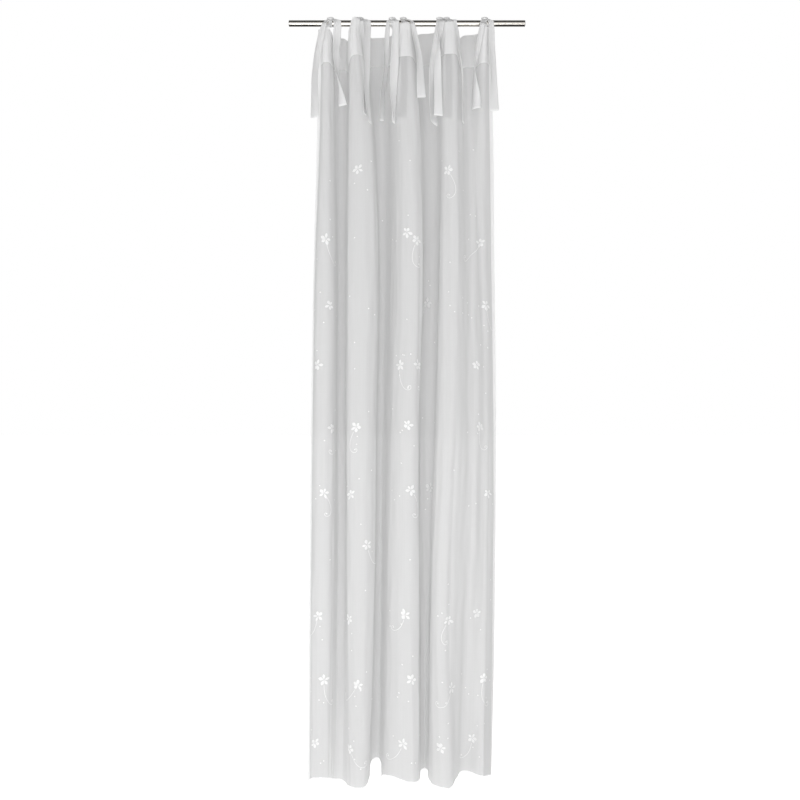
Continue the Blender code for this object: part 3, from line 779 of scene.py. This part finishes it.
# Viscose embroidery thread, satin stitched side by side: white with a silky shine, and open
# enough between its stitches for the cloth to show
threadLook = {"colour": "#FFFFFF", "roughness": 0.55, "sheen": 0.2, "pitch": 0.9, "cover": 0.92}
thread, tree = newMaterial("white viscose thread, satin stitched")
place = addNode(tree, "ShaderNodeUVMap", {"uv_map": "flatPlace"}).outputs[0]
stitch = addNode(tree, "ShaderNodeTexWave", {"bands_direction": "DIAGONAL"}, Vector=place,
                 Scale=2 * math.pi / (20 * threadLook["pitch"] * mm), Distortion=0.8).outputs["Fac"]
bump = addNode(tree, "ShaderNodeBump", Height=stitch, Strength=0.3, Distance=0.0003).outputs[0]
shader = addNode(tree, "ShaderNodeBsdfPrincipled", Base_Color=linear(threadLook["colour"]),
                 Roughness=threadLook["roughness"], Normal=bump)
shader.inputs["Sheen Weight"].default_value = threadLook["sheen"]
gaps = addNode(tree, "ShaderNodeBsdfTransparent")
stitches = addNode(tree, "ShaderNodeMixShader", i0=threadLook["cover"], i1=gaps.outputs[0],
                   i2=shader.outputs[0])
addNode(tree, "ShaderNodeOutputMaterial", i0=stitches.outputs[0])
flowers = meshPiece("embroidery", *joinGrids(stitched, 1.0, flip=True), thread)
print("embroidery made:", len(spots), "flowers,", len(flowers.data.polygons), "faces")


# rod: steel tube, drawn, ground and polished; it mirrors the bright studio in front of it
# as a pale band, and the dark room above and below as two dark ones

rodLook = {"steel": "#DAD6CF", "roughness": 0.20, "unevenness": 0.12, "grain": 1.2, "grainBump": 0.02}
steel, tree = newMaterial("stainless steel tube, ground and polished")
place = addNode(tree, "ShaderNodeTexCoord").outputs["Object"]
moved = addNode(tree, "ShaderNodeMapping", Vector=place, Scale=(4.0, 900.0, 900.0)).outputs[0]
grain = addNode(tree, "ShaderNodeTexNoise", Vector=moved, Scale=rodLook["grain"], Detail=3.0).outputs["Fac"]
rough = mathNode(tree, "MULTIPLY_ADD", grain, rodLook["unevenness"],
                 rodLook["roughness"] - rodLook["unevenness"] / 2)
bump = addNode(tree, "ShaderNodeBump", Height=grain, Strength=rodLook["grainBump"],
               Distance=0.0002).outputs[0]
shader = addNode(tree, "ShaderNodeBsdfPrincipled", Base_Color=linear(rodLook["steel"]), Metallic=1.0,
                 Roughness=rough, Normal=bump)
addNode(tree, "ShaderNodeOutputMaterial", i0=shader.outputs[0])
rod = bpy.data.objects["curtain_rod"]
for slotIndex in range(len(rod.material_slots)):
    rod.material_slots[slotIndex].material = steel
print("rod finished")


# floor and light

studio = {
    "floorDrop": 2472, "floorSize": 80.0, "floor": "#FAFAFA", "floorGlow": 0.40, "floorSeen": 0.78,
    "backdrop": 1.0, "front": 0.75, "side": 0.31, "back": 0.60,
    "mirrored": {"aim": (0.0, -0.95, -0.31), "from": 0.48, "to": 0.94, "dark": 0.02, "bright": 0.9},
    "softboxes": ((-0.1, -2.7, -2.2, 30.0), (-2.9, -2.7, -1.6, 18.0), (3.1, -2.5, -1.6, 2.0)),
    "softboxSize": (1.4, 1.4),
}
floorPaint, tree = newMaterial("white studio floor, painted")
shader = addNode(tree, "ShaderNodeBsdfPrincipled", Base_Color=linear(studio["floor"]), Roughness=0.9)
shader.inputs["Emission Color"].default_value = (1, 1, 1, 1)
# the floor is washed out to white where it is seen, and lights the cloth less than that
seen = addNode(tree, "ShaderNodeLightPath").outputs["Is Camera Ray"]
glow = addNode(tree, "ShaderNodeMix", i0=seen, i2=studio["floorGlow"], i3=studio["floorSeen"]).outputs[0]
tree.links.new(glow, shader.inputs["Emission Strength"])
addNode(tree, "ShaderNodeOutputMaterial", i0=shader.outputs[0])
half = studio["floorSize"] / 2
floorMesh = bpy.data.meshes.new("floor")
floorMesh.from_pydata([(-half, -half, 0), (half, -half, 0), (half, half, 0), (-half, half, 0)], [],
                      [(0, 1, 2, 3)])
floorMesh.materials.append(floorPaint)
floor = bpy.data.objects.new("floor", floorMesh)
scene.collection.objects.link(floor)
floor.location = (0, 0, -studio["floorDrop"] * mm)
floor.visible_glossy = False

world = bpy.data.worlds.new("soft white room")
scene.world = world
world.use_nodes = True
# the room is brightest behind the camera, less bright at the back and darkest at the sides: a
# square curve through the three along the depth; the backdrop is white
tree = world.node_tree
background = tree.nodes["Background"]
background.inputs["Color"].default_value = (1, 1, 1, 1)
way = addNode(tree, "ShaderNodeTexCoord").outputs["Generated"]
depthWay = addNode(tree, "ShaderNodeSeparateXYZ", i0=way).outputs[1]
tilt = (studio["back"] - studio["front"]) / 2
bend = (studio["back"] + studio["front"]) / 2 - studio["side"]
room = mathNode(tree, "MULTIPLY_ADD", depthWay, tilt, studio["side"])
room = mathNode(tree, "MULTIPLY_ADD", mathNode(tree, "MULTIPLY", depthWay, depthWay), bend, room)
# polished metal mirrors a bright front and back and a dark rest, as it does between black cards
mirrored = studio["mirrored"]
towards = addNode(tree, "ShaderNodeVectorMath", {"operation": "DOT_PRODUCT"}, i0=way, i1=mirrored["aim"])
towards = mathNode(tree, "ABSOLUTE", towards.outputs[1])
cards = addNode(tree, "ShaderNodeMapRange", {"interpolation_type": "SMOOTHSTEP"}, Value=towards,
                From_Min=mirrored["from"], From_Max=mirrored["to"], To_Min=mirrored["dark"],
                To_Max=mirrored["bright"]).outputs[0]
ray = addNode(tree, "ShaderNodeLightPath")
room = addNode(tree, "ShaderNodeMix", i0=ray.outputs["Is Glossy Ray"], i2=room, i3=cards).outputs[0]
seen = ray.outputs["Is Camera Ray"]
strength = addNode(tree, "ShaderNodeMix", i0=seen, i2=room, i3=studio["backdrop"]).outputs[0]
tree.links.new(strength, background.inputs["Strength"])

for index, (x, y, z, power) in enumerate(studio["softboxes"]):
    lamp = bpy.data.lights.new(f"softbox_{index + 1}", "AREA")
    lamp.shape = "RECTANGLE"
    lamp.size, lamp.size_y = studio["softboxSize"]
    lamp.energy = power
    softbox = bpy.data.objects.new(lamp.name, lamp)
    scene.collection.objects.link(softbox)
    softbox.location = (x, y, z)
    aim = np.array((0.0, 0.0, -1.2)) - np.array((x, y, z))
    softbox.rotation_euler = (math.atan2(math.hypot(aim[0], aim[1]), -aim[2]), 0,
                              math.atan2(aim[1], aim[0]) - math.pi / 2)
    softbox.visible_camera = False
print("floor and light made")
